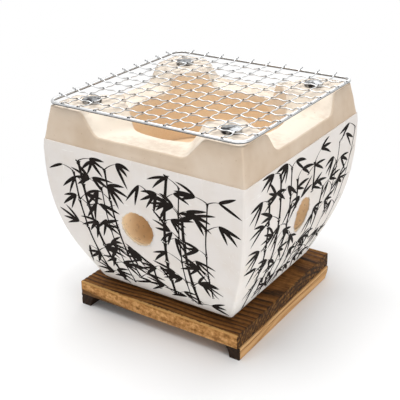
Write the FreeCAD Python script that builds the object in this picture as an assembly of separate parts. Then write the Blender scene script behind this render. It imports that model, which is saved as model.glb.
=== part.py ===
import FreeCAD
import Part
import math
import os

# Tabletop konro: a square clay charcoal stove in a pasted paper wrap. It stands on a board with two
# battens, and a woven wire net lies on its rim. Millimetres, +Z up, front towards -Y. The origin is on
# the table, under the middle of the stove.

# Stand
BOARD_WIDTH = 126.6            # square in plan
BOARD_THICKNESS = 10.2
BOARD_EDGE_ROUND = 0.8
BATTEN_HEIGHT = 8.5
BATTEN_TOP_WIDTH = 10.5
BATTEN_FOOT_WIDTH = 7.5
BATTEN_PROUD = 0.8             # stands out past the side of the board
BATTEN_SETBACK = 1.0           # behind the front and rear edges of the board
BATTEN_HEEL = 4.5              # rear lower corner cut away
GROOVE_DROP = 2.2              # bead on the outer side, measured down from the board
GROOVE_WIDTH = 0.9
GROOVE_DEPTH = 0.8
COVE_HEIGHT_SHARE = 0.45       # middle of the hollow inner side of a batten
COVE_WIDTH_SHARE = 0.2
NAIL_SHANK = 1.8
NAIL_HEAD = 4.0
NAIL_HEAD_THICKNESS = 0.8
NAIL_RECESS = 0.6              # head sunk into the foot of the batten
NAIL_BITE = 4.5                # length of shank inside the board
NAIL_FIT = 0.1                 # radial room round shank and head
NAIL_PLACE_SHARES = (-0.33, 0.33)  # along the board

# Clay stove: widths across the flats, heights above its own base
STOVE_HEIGHT = 127.9
BASE_WIDTH = 97.6
KNEE_WIDTH = 116.6
KNEE_HEIGHT = 21.8
BELLY_WIDTH = 149.2
BELLY_HEIGHT = 100.3
SHOULDER_WIDTH = 148.4
SHOULDER_HEIGHT = 106.3
RIM_WIDTH = 140.4
CORNER_ROUND = 3.0
RIM_EDGE_BEVEL = 1.0
BELLY_STATION_SHARES = (0.0, 0.25, 0.5, 0.75, 1.0)

# Firebox, ash space and air holes
FLOOR_THICKNESS = 44.5
MOUTH_DIAMETER = 104.0
SEAT_DIAMETER = 100.0          # firebox wall just above the grate's ledge
LEDGE_WIDTH = 4.0
FLOOR_BEVEL = 3.0
MOUTH_BEVEL = 1.5
VENT_DIAMETER = 23.0
VENT_ABOVE_FLOOR = 3.5
VENT_SIDESTEPS = (-3.5, 1.2, 0.0, 0.0)  # cut by hand, a little off the middle: front, right, rear, left
LEDGE_ABOVE_VENT = 1.0

# Scoops in the rim, one on each side, with flanks that run towards the middle of the stove
SCOOP_DEPTH = 13.4
SCOOP_FLOOR_WIDTH = 69.0       # between the flanks, on the outer side of the rim
SCOOP_TOP_WIDTH = 85.0
SCOOP_LIP_WIDTH = 104.0        # where the rounded lip has run out above the rim
SCOOP_LIP_DROP = 1.0
SCOOP_LIP_RISE = 2.0
SCOOP_FLOOR_ROUND = 9.0
SCOOP_LIP_ROUND = 6.0

# Paper wrap
PAPER_THICKNESS = 0.6
PASTE_THICKNESS = 0.2
PAPER_HEM = 0.5                # bare clay under the lower edge
PAPER_VENT_MARGIN = 0.3

# Charcoal grate: a pierced clay disc, loose on its ledge
GRATE_THICKNESS = 7.0
GRATE_CLEARANCE = 0.8          # round the rim of the disc
GRATE_HOLE = 9.0
GRATE_RING_COUNTS = (1, 6, 12)
GRATE_RING_STEP = 17.0

# Net: a frame of heavy wire, and thin crimped wires woven across it, whose ends lie over the frame
NET_OVERHANG = 0.9             # from the edge of the rim to the middle of the frame wire
NET_SEAT_GAP = 0.3
FRAME_WIRE = 2.2
FRAME_CORNER_ROUND = 7.0
MESH_WIRE = 0.8
WIRES_EACH_WAY = 10
CROSSING_GAP = 0.1
WELD_GAP = 0.1
END_OVERHANG = 2.0             # wire ends, past the middle of the frame wire
CRESTS_PER_PITCH = 3           # odd, so that a wire passes over and under by turns
MIDDLE_CREST_SHARE = 0.5       # crests between two crossings, against those on a crossing
WIRE_SIDES = 6

# Domed studs in the corners of the rim; each stands in one cell of the mesh and carries its four wires
STUD_DIAMETER = 12.4
STUD_HEIGHT = 2.9
STUD_RIM = 1.6                 # upright edge of the head
STUD_SHANK = 4.0
STUD_SHANK_LENGTH = 16.0
STUD_FIT = 0.15
DOME_ROUND_SHARE = 0.5523      # Bezier handle of a quarter ellipse
DOME_STEPS = 40                # points of the dome that are tried as seats of the net

OVERRUN = 5.0                  # cuts reach this far past what they cut
SIDES = 4
FULL_TURN = 360.0
UP = FreeCAD.Vector(0, 0, 1)
ORIGIN = FreeCAD.Vector(0, 0, 0)

# Places worked out from the sizes above
quarter_turn = FULL_TURN / SIDES
board_half = BOARD_WIDTH / 2
base_z = BATTEN_HEIGHT + BOARD_THICKNESS
knee_z = base_z + KNEE_HEIGHT
belly_z = base_z + BELLY_HEIGHT
shoulder_z = base_z + SHOULDER_HEIGHT
rim_z = base_z + STOVE_HEIGHT
floor_z = base_z + FLOOR_THICKNESS
vent_radius = VENT_DIAMETER / 2
vent_z = floor_z + VENT_ABOVE_FLOOR + vent_radius
ledge_z = vent_z + vent_radius + LEDGE_ABOVE_VENT
seat_radius = SEAT_DIAMETER / 2
rim_half = RIM_WIDTH / 2
frame_half = rim_half + NET_OVERHANG
frame_radius = FRAME_WIRE / 2
mesh_radius = MESH_WIRE / 2
end_height = frame_radius + WELD_GAP + mesh_radius
crimp = (MESH_WIRE + CROSSING_GAP) / 2
pitch = 2 * frame_half / (WIRES_EACH_WAY + 1)
wire_places = [pitch * (number + 1) - frame_half for number in range(WIRES_EACH_WAY)]
stud_place = frame_half - pitch - pitch / 2
stud_radius = STUD_DIAMETER / 2


def at(x, y, z):
    """Short name for a point."""
    return FreeCAD.Vector(x, y, z)


def turned(shape, quarters):
    """Copy of a shape, turned about the stove's upright axis by quarter turns."""
    copy = shape.copy()
    copy.rotate(ORIGIN, UP, quarter_turn * quarters)
    return copy


def line(start, end):
    """Straight edge between two points."""
    return Part.LineSegment(start, end).toShape()


def arc(start, middle, end):
    """Round edge through three points."""
    return Part.Arc(start, middle, end).toShape()


def dome_poles():
    """Bezier poles of a stud's dome, from its upright edge to its top, above the rim."""
    rise = STUD_HEIGHT - STUD_RIM
    return [
        at(stud_radius, 0, STUD_RIM),
        at(stud_radius, 0, STUD_RIM + rise * DOME_ROUND_SHARE),
        at(stud_radius * DOME_ROUND_SHARE, 0, STUD_HEIGHT),
        at(0, 0, STUD_HEIGHT),
    ]


def net_height():
    """Height of the net over the rim: the frame clear of the clay, and the mesh carried by the domes."""
    dome = Part.BezierCurve()
    dome.setPoles(dome_poles())
    reach = mesh_radius + NET_SEAT_GAP
    seats = [frame_radius + NET_SEAT_GAP]
    for point in dome.discretize(DOME_STEPS):
        sideways = pitch / 2 - point.x
        if abs(sideways) < reach:
            seats.append(point.z + math.sqrt(reach ** 2 - sideways ** 2))
    return max(seats)


def rounded_polygon(corners, rounds):
    """Closed wire through the corners, each one replaced by a tangent arc of its own radius."""
    runs = []
    for number, corner in enumerate(corners):
        back = (corners[number - 1] - corner).normalize()
        ahead = (corners[(number + 1) % len(corners)] - corner).normalize()
        half_angle = back.getAngle(ahead) / 2
        reach = rounds[number] / math.tan(half_angle)
        bisector = (back + ahead).normalize()
        sag = rounds[number] / math.sin(half_angle) - rounds[number]
        runs.append((corner + back * reach, corner + bisector * sag, corner + ahead * reach))
    edges = []
    for number, run in enumerate(runs):
        if rounds[number] > 0:
            edges.append(arc(*run))
        edges.append(line(run[2], runs[(number + 1) % len(runs)][0]))
    return Part.Wire(edges)


def rounded_square(half, rounding, z):
    """Closed wire of a square with round corners, lying flat at one height."""
    corners = [at(half, -half, z), at(half, half, z), at(-half, half, z), at(-half, -half, z)]
    return rounded_polygon(corners, [rounding] * SIDES)


def belly_half(z):
    """Half width of the clay between knee and belly: a parabola, upright at the belly."""
    share = (belly_z - z) / (belly_z - knee_z)
    return (BELLY_WIDTH - (BELLY_WIDTH - KNEE_WIDTH) * share ** 2) / 2


def stove_form(offset):
    """Solid of the stove from its base to its shoulder, with its sides moved out by an offset."""
    rounding = CORNER_ROUND + offset

    def section(half, z):
        return rounded_square(half + offset, rounding, z)

    foot = Part.makeLoft([section(BASE_WIDTH / 2, base_z), section(KNEE_WIDTH / 2, knee_z)], True, True)
    heights = [knee_z + (belly_z - knee_z) * share for share in BELLY_STATION_SHARES]
    belly = Part.makeLoft([section(belly_half(z), z) for z in heights], True, False)
    neck_sections = [section(BELLY_WIDTH / 2, belly_z), section(SHOULDER_WIDTH / 2, shoulder_z)]
    neck = Part.makeLoft(neck_sections, True, True)
    return foot.fuse([belly, neck])


def rim_band():
    """Bare clay band over the paper, drawn in towards the rim, with its top edge bevelled."""
    low = rounded_square(SHOULDER_WIDTH / 2, CORNER_ROUND, shoulder_z)
    edge = rounded_square(rim_half, CORNER_ROUND, rim_z - RIM_EDGE_BEVEL)
    top = rounded_square(rim_half - RIM_EDGE_BEVEL, CORNER_ROUND - RIM_EDGE_BEVEL, rim_z)
    return Part.makeLoft([low, edge, top], True, True)


def firebox_hollow():
    """Turned hollow: ash space with a bevelled floor, the grate's ledge, firebox and bevelled mouth."""
    ash_radius = seat_radius - LEDGE_WIDTH
    mouth_radius = MOUTH_DIAMETER / 2
    top = rim_z + OVERRUN
    corners = [
        at(0, 0, floor_z),
        at(ash_radius - FLOOR_BEVEL, 0, floor_z),
        at(ash_radius, 0, floor_z + FLOOR_BEVEL),
        at(ash_radius, 0, ledge_z),
        at(seat_radius, 0, ledge_z),
        at(mouth_radius, 0, rim_z - MOUTH_BEVEL),
        at(mouth_radius + MOUTH_BEVEL, 0, rim_z),
        at(mouth_radius + MOUTH_BEVEL, 0, top),
        at(0, 0, top),
        at(0, 0, floor_z),
    ]
    return Part.Face(Part.makePolygon(corners)).revolve(ORIGIN, UP, FULL_TURN)


def scoop_section(y):
    """Outline of the front scoop at one distance from the middle; its widths shrink towards it."""
    share = -y / rim_half / 2
    lip = SCOOP_LIP_WIDTH * share
    top = SCOOP_TOP_WIDTH * share
    floor = SCOOP_FLOOR_WIDTH * share
    lip_z = rim_z + SCOOP_LIP_RISE
    top_z = rim_z - SCOOP_LIP_DROP
    scoop_z = rim_z - SCOOP_DEPTH
    corners = [
        at(-lip, y, lip_z),
        at(-top, y, top_z),
        at(-floor, y, scoop_z),
        at(floor, y, scoop_z),
        at(top, y, top_z),
        at(lip, y, lip_z),
    ]
    rounds = [0, SCOOP_LIP_ROUND, SCOOP_FLOOR_ROUND, SCOOP_FLOOR_ROUND, SCOOP_LIP_ROUND, 0]
    return rounded_polygon(corners, [rounding * 2 * share for rounding in rounds])


def front_scoop():
    """Cutter for the scoop in the front of the rim."""
    outer = -SHOULDER_WIDTH / 2 - OVERRUN
    inner = -seat_radius / 2
    return Part.makeLoft([scoop_section(outer), scoop_section(inner)], True, True)


def vent(side, radius):
    """Cutter for the round air hole of one side, from outside the belly to the middle."""
    reach = BELLY_WIDTH / 2 + OVERRUN
    hole = Part.makeCylinder(radius, reach, at(VENT_SIDESTEPS[side], -reach, vent_z), at(0, 1, 0))
    return turned(hole, side)


def stud_spots():
    """The four stud places on the rim, front left first, then round to the right."""
    front_left = at(-stud_place, -stud_place, rim_z)
    spots = []
    for quarters in range(SIDES):
        spots.append(FreeCAD.Rotation(UP, quarter_turn * quarters).multVec(front_left))
    return spots


def stove_body():
    """The one-piece clay stove."""
    body = stove_form(0).fuse(rim_band()).removeSplitter()
    cutters = [firebox_hollow()]
    for side in range(SIDES):
        cutters.append(turned(front_scoop(), side))
        cutters.append(vent(side, vent_radius))
    hole_radius = STUD_SHANK / 2 + STUD_FIT
    hole_depth = STUD_SHANK_LENGTH + STUD_FIT
    for spot in stud_spots():
        cutters.append(Part.makeCylinder(hole_radius, hole_depth + OVERRUN, spot - UP * hole_depth, UP))
    return body.cut(cutters)


def front_paper():
    """Front panel of the paper wrap, mitred at the corners, before its air hole is cut."""
    skin = stove_form(PASTE_THICKNESS + PAPER_THICKNESS).cut(stove_form(PASTE_THICKNESS))
    reach = BELLY_WIDTH
    low = base_z + PAPER_HEM
    wedge = Part.Face(Part.makePolygon([at(0, 0, low), at(-reach, -reach, low), at(reach, -reach, low),
                                        at(0, 0, low)]))
    return skin.common(wedge.extrude(UP * (shoulder_z - low))).removeSplitter()


def stud(spot):
    """Domed nail: shank, upright edge and dome are one turned profile."""
    shank = STUD_SHANK / 2
    dome = Part.BezierCurve()
    dome.setPoles(dome_poles())
    outline = [
        line(at(0, 0, STUD_HEIGHT), at(0, 0, -STUD_SHANK_LENGTH)),
        line(at(0, 0, -STUD_SHANK_LENGTH), at(shank, 0, -STUD_SHANK_LENGTH)),
        line(at(shank, 0, -STUD_SHANK_LENGTH), at(shank, 0, 0)),
        line(at(shank, 0, 0), at(stud_radius, 0, 0)),
        line(at(stud_radius, 0, 0), at(stud_radius, 0, STUD_RIM)),
        dome.toShape(),
    ]
    solid = Part.Face(Part.Wire(outline)).revolve(ORIGIN, UP, FULL_TURN)
    solid.translate(spot)
    return solid


def charcoal_grate():
    """Pierced clay disc that carries the charcoal above the ash space."""
    disc = Part.makeCylinder(seat_radius - GRATE_CLEARANCE, GRATE_THICKNESS, at(0, 0, ledge_z), UP)
    holes = []
    for ring, count in enumerate(GRATE_RING_COUNTS):
        for number in range(count):
            angle = 2 * math.pi * number / count
            spot = at(math.cos(angle), math.sin(angle), 0) * (GRATE_RING_STEP * ring)
            low = spot + UP * (ledge_z - OVERRUN)
            holes.append(Part.makeCylinder(GRATE_HOLE / 2, GRATE_THICKNESS + 2 * OVERRUN, low, UP))
    return disc.cut(holes)


def net_frame():
    """Closed square of heavy wire with round corners."""
    path = rounded_square(frame_half, FRAME_CORNER_ROUND, net_z)
    start = path.OrderedVertexes[0].Point
    heading = path.OrderedEdges[0].tangentAt(path.OrderedEdges[0].FirstParameter)
    section = Part.Wire([Part.makeCircle(frame_radius, start, heading)])
    return path.makePipeShell([section], True, False)


def end_points(side):
    """Path of a wire end over the frame: (along, height) points from the net outwards."""
    reaches = [frame_half - frame_radius, frame_half + END_OVERHANG]
    return [(side * reach, end_height) for reach in reaches]


def crimped_path(above):
    """Path of one woven wire: crests up and down by turns, the first crossing passed above or below."""
    crests = CRESTS_PER_PITCH * (WIRES_EACH_WAY + 1)
    path = end_points(-1)[::-1]
    for number in range(1, crests):
        height = above * crimp * (-1) ** (number - CRESTS_PER_PITCH)
        if number % CRESTS_PER_PITCH:
            height = height * MIDDLE_CREST_SHARE
        path.append((2 * frame_half * number / crests - frame_half, height))
    return path + end_points(1)


def bent_wire(path, across):
    """Six-sided wire along a path in an upright plane parallel to X, mitred at each bend."""
    points = [at(along, across, net_z + height) for along, height in path]
    headings = [(end - start).normalize() for start, end in zip(points, points[1:])]
    normals = [at(-heading.z, 0, heading.x) for heading in headings]
    corners = [2 * math.pi * side / WIRE_SIDES for side in range(WIRE_SIDES)]
    rings = []
    for number, point in enumerate(points):
        before = normals[max(number - 1, 0)]
        after = normals[min(number, len(normals) - 1)]
        mitre = before + after
        mitre = mitre / mitre.dot(before)
        ring = []
        for angle in corners:
            sideways = at(0, mesh_radius * math.cos(angle), 0)
            ring.append(point + sideways + mitre * (mesh_radius * math.sin(angle)))
        rings.append(ring)
    faces = [Part.Face(Part.makePolygon(rings[0] + rings[0][:1]))]
    faces.append(Part.Face(Part.makePolygon(rings[-1] + rings[-1][:1])))
    for low, high in zip(rings, rings[1:]):
        for side in range(WIRE_SIDES):
            after = (side + 1) % WIRE_SIDES
            outline = [low[side], low[after], high[after], high[side], low[side]]
            faces.append(Part.Face(Part.makePolygon(outline)))
    shell = Part.makeShell(faces)
    shell.sewShape()
    solid = Part.makeSolid(shell)
    if solid.Volume < 0:
        solid.reverse()
    return solid


def stand_board():
    """Square board with softened edges, bored from below for the batten nails."""
    corner = at(-board_half, -board_half, BATTEN_HEIGHT)
    board = Part.makeBox(BOARD_WIDTH, BOARD_WIDTH, BOARD_THICKNESS, corner)
    edges = [edge for edge in board.Edges if edge.BoundBox.ZMax > base_z - BOARD_THICKNESS / 2]
    board = board.makeFillet(BOARD_EDGE_ROUND, edges)
    return board.cut([nail_hole(spot) for spot in nail_spots()])


def nail_spots():
    """Places of the nails on the floor, two under each batten."""
    across = board_half + BATTEN_PROUD - BATTEN_FOOT_WIDTH / 2
    return [at(side * across, BOARD_WIDTH * share, 0) for side in (-1, 1) for share in NAIL_PLACE_SHARES]


def nail(spot, room, head_drop):
    """Nail pointing up from the foot of a batten into the board, grown by some room all round."""
    head_z = NAIL_RECESS - head_drop
    head_top = NAIL_RECESS + NAIL_HEAD_THICKNESS
    top = BATTEN_HEIGHT + NAIL_BITE + room
    head = Part.makeCylinder(NAIL_HEAD / 2 + room, head_top - head_z, spot + UP * head_z, UP)
    shank = Part.makeCylinder(NAIL_SHANK / 2 + room, top - head_z, spot + UP * head_z, UP)
    return head.fuse(shank).removeSplitter()


def nail_hole(spot):
    """Cutter for one nail: its own shape with some room, run out below the foot."""
    return nail(spot, NAIL_FIT, NAIL_RECESS + OVERRUN)


def right_batten():
    """Right batten: hollowed inner side, bead groove on the outer side, rear lower corner cut away."""
    outer = board_half + BATTEN_PROUD
    foot = outer - BATTEN_FOOT_WIDTH
    top = outer - BATTEN_TOP_WIDTH
    cove = at(foot + (top - foot) * COVE_WIDTH_SHARE, 0, BATTEN_HEIGHT * COVE_HEIGHT_SHARE)
    groove_top = BATTEN_HEIGHT - GROOVE_DROP
    groove_low = groove_top - GROOVE_WIDTH
    outline = [
        at(foot, 0, 0),
        at(outer, 0, 0),
        at(outer, 0, groove_low),
        at(outer - GROOVE_DEPTH, 0, (groove_low + groove_top) / 2),
        at(outer, 0, groove_top),
        at(outer, 0, BATTEN_HEIGHT),
        at(top, 0, BATTEN_HEIGHT),
    ]
    edges = [line(start, end) for start, end in zip(outline, outline[1:])]
    edges.append(arc(outline[-1], cove, outline[0]))
    length = BOARD_WIDTH - 2 * BATTEN_SETBACK
    batten = Part.Face(Part.Wire(edges)).extrude(at(0, length, 0))
    batten.translate(at(0, -length / 2, 0))
    rear = length / 2
    heel = Part.Face(Part.makePolygon([at(0, rear, 0), at(0, rear, BATTEN_HEEL), at(0, rear - BATTEN_HEEL, 0),
                                       at(0, rear, 0)]))
    batten = batten.cut(heel.extrude(at(outer, 0, 0)))
    return batten.cut([nail_hole(spot) for spot in nail_spots()])


net_z = rim_z + net_height()
nodes = {"stand_board": stand_board()}
nodes["batten_right"] = right_batten()
nodes["batten_left"] = nodes["batten_right"].mirror(ORIGIN, at(1, 0, 0))
nodes["batten_nails"] = Part.makeCompound([nail(spot, 0, 0) for spot in nail_spots()])
nodes["stove_body"] = stove_body()
paper_blank = front_paper()
for side, side_name in enumerate(("front", "right", "rear", "left")):
    nodes["paper_" + side_name] = turned(paper_blank, side).cut(vent(side, vent_radius + PAPER_VENT_MARGIN))
for corner, spot in zip(("front_left", "front_right", "rear_right", "rear_left"), stud_spots()):
    nodes["stud_" + corner] = stud(spot)
nodes["charcoal_grate"] = charcoal_grate()
nodes["net_frame"] = net_frame()
for number, place in enumerate(wire_places):
    parity = (-1) ** number
    nodes["net_cross_wire_%d" % (number + 1)] = bent_wire(crimped_path(parity), place)
    nodes["net_long_wire_%d" % (number + 1)] = turned(bent_wire(crimped_path(-parity), -place), 1)

os.makedirs("parts", exist_ok=True)
for name, shape in nodes.items():
    if not shape.isValid():
        raise ValueError("the solid of %s is not valid" % name)
    shape.exportStep("parts/%s.step" % name)
    print("%-20s %d solid(s) %10.1f mm3" % (name, len(shape.Solids), shape.Volume))
print("net %.2f mm over the rim" % (net_z - rim_z))
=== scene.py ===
# %% [markdown]
# # A tabletop konro, dressed
# The stove is fired clay in a pasted paper wrap. A woven wire net lies on its rim, and a scorched board
# on two battens carries it. The CAD frame fixes every place and size. This lesson gives each piece the
# surface and the finish that the frame leaves plain. We keep the frame's box from the start, and the
# added pieces take their sizes from it.

import bpy
import numpy as np
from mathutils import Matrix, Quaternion, Vector


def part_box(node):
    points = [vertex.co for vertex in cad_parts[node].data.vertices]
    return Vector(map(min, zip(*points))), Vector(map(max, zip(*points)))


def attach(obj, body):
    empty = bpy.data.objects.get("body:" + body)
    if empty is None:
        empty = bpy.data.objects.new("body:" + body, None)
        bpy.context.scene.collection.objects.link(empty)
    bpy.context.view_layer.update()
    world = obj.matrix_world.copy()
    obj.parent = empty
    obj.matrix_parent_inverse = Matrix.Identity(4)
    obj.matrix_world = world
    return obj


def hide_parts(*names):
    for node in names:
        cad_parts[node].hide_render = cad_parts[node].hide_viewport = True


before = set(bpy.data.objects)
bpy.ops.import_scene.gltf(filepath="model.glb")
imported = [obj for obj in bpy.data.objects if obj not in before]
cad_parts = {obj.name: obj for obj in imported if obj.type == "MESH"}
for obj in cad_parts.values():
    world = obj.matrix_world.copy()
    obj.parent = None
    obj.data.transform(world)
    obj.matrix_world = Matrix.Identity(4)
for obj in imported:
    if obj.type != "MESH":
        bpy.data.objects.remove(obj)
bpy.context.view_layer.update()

# %% [markdown]
# ## Surfaces from arrays
# Every new piece is a grid of points: rows and columns of a formula, worked out by numpy all at once. A
# grid is easy to turn into quads, because the four corners of each quad are neighbours in the grid. A
# closed grid joins its last column to its first, as a tube does.

# %% Grids and pieces


def grid_quads(rows, columns, closed=False, looped=False):
    """Corner numbers of the quads of a grid that is numbered row by row.

    Closed joins the last column to the first, and looped the last row to the first.
    """
    index = np.arange(rows * columns).reshape(rows, columns)
    if closed:
        index = np.hstack([index, index[:, :1]])
    if looped:
        index = np.vstack([index, index[:1]])
    corners = [index[:-1, :-1], index[:-1, 1:], index[1:, 1:], index[1:, :-1]]
    return np.stack(corners, axis=-1).reshape(-1, 4)


def capped(rows, columns, flipped=False):
    """Faces of a closed grid with its first and last rows filled in; flipped turns every face round."""
    quads = grid_quads(rows, columns, closed=True)
    first, last = np.arange(rows * columns).reshape(rows, columns)[[0, -1]]
    ends = [first, last[::-1]] if flipped else [first[::-1], last]
    return (quads[:, ::-1] if flipped else quads).tolist() + [end.tolist() for end in ends]


def add_mesh(name, points, faces):
    """New smooth-shaded object at the origin, from an array of points and a list of faces."""
    mesh = bpy.data.meshes.new(name)
    mesh.from_pydata(points.reshape(-1, 3).tolist(), [], faces)
    mesh.polygons.foreach_set("use_smooth", np.ones(len(mesh.polygons), bool))
    piece = bpy.data.objects.new(name, mesh)
    bpy.context.scene.collection.objects.link(piece)
    return piece


def dress(piece, body, slot, material, *nodes):
    """Gives a piece its body, its finish and the CAD nodes that it stands for; the slot is not used."""
    piece.data.materials.append(material)
    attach(piece, body)
    if nodes:
        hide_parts(*nodes)
    print("%s: %d faces on %s" % (piece.name, len(piece.data.polygons), body))
    return piece


def turned(side, x, y):
    """(x, y) of the front side, turned about the upright axis to another side: a quarter turn for each."""
    turn = side * np.pi / 2
    return x * np.cos(turn) - y * np.sin(turn), x * np.sin(turn) + y * np.cos(turn)


def ripple(*phases):
    """Small unevenness of hand work, about -1 to 1: a few sine waves that don't repeat together."""
    waves = [np.sin(phase * (1 + 0.37 * number) + 1.7 * number) for number, phase in enumerate(phases)]
    return sum(waves) / len(waves)


print("grids: a strip of 3 by 2 points has", len(grid_quads(3, 2)), "quads")

# %% [markdown]
# ## Shader maths as expressions
# A finish is easier to read as a formula than as a web of nodes. One small class wraps a socket, and its
# operators add the Math nodes, so a mask can be written as `1 - shine`. The same formula then also works
# on plain numpy arrays, which lets the wood's grain shape both the mesh and the colour.

# %% Fields


class Field:
    """A value that changes over a surface: one socket of a material's node tree."""

    def __init__(self, tree, socket=None):
        self.tree = tree
        self.socket = socket

    def node(self, kind, settings=None, inputs=None, output=0):
        """Adds any node from its type, its settings, the values or links of its sockets and its output."""
        made = self.tree.nodes.new(kind)
        for name, value in (settings or {}).items():
            if name == "stops":
                ramp = made.color_ramp
                while len(ramp.elements) < len(value):
                    ramp.elements.new(1.0)
                for element, (position, color) in zip(ramp.elements, value):
                    element.position = position
                    element.color = color
            else:
                setattr(made, name, value)
        for key, value in (inputs or {}).items():
            if isinstance(value, Field):
                self.tree.links.new(value.socket, made.inputs[key])
            else:
                made.inputs[key].default_value = value
        return Field(self.tree, made.outputs[output])

    def math(self, operation, *others):
        """Math node with this value first."""
        inputs = dict(enumerate((self,) + others))
        return self.node("ShaderNodeMath", {"operation": operation}, inputs)

    def __add__(self, other):
        return self.math("ADD", other)

    __radd__ = __add__

    def __sub__(self, other):
        return self.math("SUBTRACT", other)

    def __rsub__(self, other):
        return (self * -1.0) + other

    def __mul__(self, other):
        return self.math("MULTIPLY", other)

    __rmul__ = __mul__

    def __truediv__(self, other):
        return self.math("DIVIDE", other)

    def __pow__(self, power):
        return self.math("POWER", power)

    def __abs__(self):
        return self.math("ABSOLUTE")

    def __or__(self, other):
        """The greater of two values, which is either of two masks."""
        return self.math("MAXIMUM", other)

    def step(self, low, high):
        """Smooth step: 0 below low, 1 above high."""
        inputs = {"Value": self, "From Min": low, "From Max": high}
        return self.node("ShaderNodeMapRange", {"interpolation_type": "SMOOTHSTEP"}, inputs)

    def close_to(self, face, deep, shallow):
        """1 at a face and 0 further in: a smooth step between two depths under it."""
        return self.step(face - deep, face - shallow)

    def blend(self, first, second):
        """Colour between two colours, with this value as the share of the second."""
        return self.node("ShaderNodeMix", {"data_type": "RGBA"}, {0: self, 6: first, 7: second}, 2)

    def ramp(self, *stops):
        """Colour ramp of this value, from (position, colour) stops."""
        return self.node("ShaderNodeValToRGB", {"stops": stops}, {0: self})

    def stretched(self, x, y, z):
        """Vector scaled along each axis."""
        return self.node("ShaderNodeVectorMath", {"operation": "MULTIPLY"}, {0: self, 1: (x, y, z)})

    def noise(self, scale, detail=3.0, roughness=0.55):
        """Noise at this place; one over the scale is about the size of its blots, in metres."""
        inputs = {"Vector": self, "Scale": scale, "Detail": detail, "Roughness": roughness}
        return self.node("ShaderNodeTexNoise", {}, inputs)

    def parts(self):
        """The x, y and z of a vector."""
        return [self.node("ShaderNodeSeparateXYZ", {}, {0: self}, output) for output in range(3)]


print("fields: sums, products, masks, steps, blends, ramps and noise")

# %% Functions, colours and finishes


def sine(value):
    """Sine of an array, or of a field."""
    return value.math("SINE") if isinstance(value, Field) else np.sin(value)


def root(value):
    """Square root of an array, or of a field."""
    return value.math("SQRT") if isinstance(value, Field) else np.sqrt(value)


def srgb(red, green, blue):
    """Linear RGBA of a colour given as it looks on a screen, 0 to 255."""
    share = np.array([red, green, blue]) / 255
    linear = np.where(share > 0.04045, ((share + 0.055) / 1.055) ** 2.4, share / 12.92)
    return (*(float(part) for part in linear), 1.0)


class Finish:
    """A material: its constants go straight onto the shader's sockets, and fields are linked to it."""

    def __init__(self, name, **constants):
        self.material = bpy.data.materials.new(name)
        self.material.use_nodes = True
        self.tree = self.material.node_tree
        self.shader = self.tree.nodes["Principled BSDF"]
        for socket, value in constants.items():
            label = socket.replace("_", " ").title().replace("Ior", "IOR")
            self.shader.inputs[label].default_value = value
        self.place = Field(self.tree).node("ShaderNodeTexCoord", output="Object")

    def feed(self, height=None, depth=0.0, **fields):
        """Links fields to the shader's sockets, and a height field, in metres, to its normal."""
        for socket, field in fields.items():
            self.tree.links.new(field.socket, self.shader.inputs[socket.replace("_", " ").title()])
        if height is not None:
            bump = height.node("ShaderNodeBump", {}, {"Distance": depth, "Height": height})
            self.tree.links.new(bump.socket, self.shader.inputs["Normal"])
        return self.material


print("a middle grey of 128 on the screen is", round(srgb(128, 128, 128)[0], 3), "in linear light")

# %% [markdown]
# ## Camera
# The photograph was taken from the front right and a little above. Its camera was worked out from the
# square rim, the net and the board: the direction, the distance and the lens. A small lens shift takes
# up the framing, because the object doesn't sit in the middle of the picture.

# %% Camera
AZIMUTH, ELEVATION, ROLL = np.radians((33.54, 23.95, -0.77))
CAMERA_DISTANCE = 0.5774
CAMERA_AIM = Vector((0.0, 0.0, 0.080))
LENS = 76.5
LENS_SHIFT = (-0.0167, -0.0318)

level = np.cos(ELEVATION)
back = Vector((np.sin(AZIMUTH) * level, -np.cos(AZIMUTH) * level, np.sin(ELEVATION)))
camera = bpy.data.objects.new("camera", bpy.data.cameras.new("camera"))
camera.data.lens = LENS
camera.data.shift_x, camera.data.shift_y = LENS_SHIFT
camera.rotation_mode = "QUATERNION"
camera.rotation_quaternion = (-back).to_track_quat("-Z", "Y") @ Quaternion((0, 0, 1), ROLL)
camera.location = CAMERA_AIM + back * CAMERA_DISTANCE
bpy.context.scene.collection.objects.link(camera)
bpy.context.scene.camera = camera
print("camera at", [round(part, 3) for part in camera.location])

# %% [markdown]
# ## Floor and light
# A product picture has a white sweep and broad, soft light: one large lamp overhead, weaker ones low in
# front and at the right, and one behind, which puts a shine on the wires that run from front to back. The
# surround is pale. The floor takes the object's shadow close by. Further out it turns plain white for the
# camera, so no horizon shows.

# %% Floor
FLOOR_HALF = 6.0
SHADOW_REACH = (0.10, 0.28)
WHITE = (1.0, 1.0, 1.0, 1.0)
SWEEP = (0.92, 0.92, 0.92, 1.0)
WHITE_RAYS = ("Is Camera Ray", "Is Glossy Ray", "Is Transmission Ray")


def shows_white(field):
    """1 for a ray from the camera, from a reflection or through glass, and 0 for one that carries light."""
    seen, mirrored, through = (field.node("ShaderNodeLightPath", output=kind) for kind in WHITE_RAYS)
    return seen | mirrored | through


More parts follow.
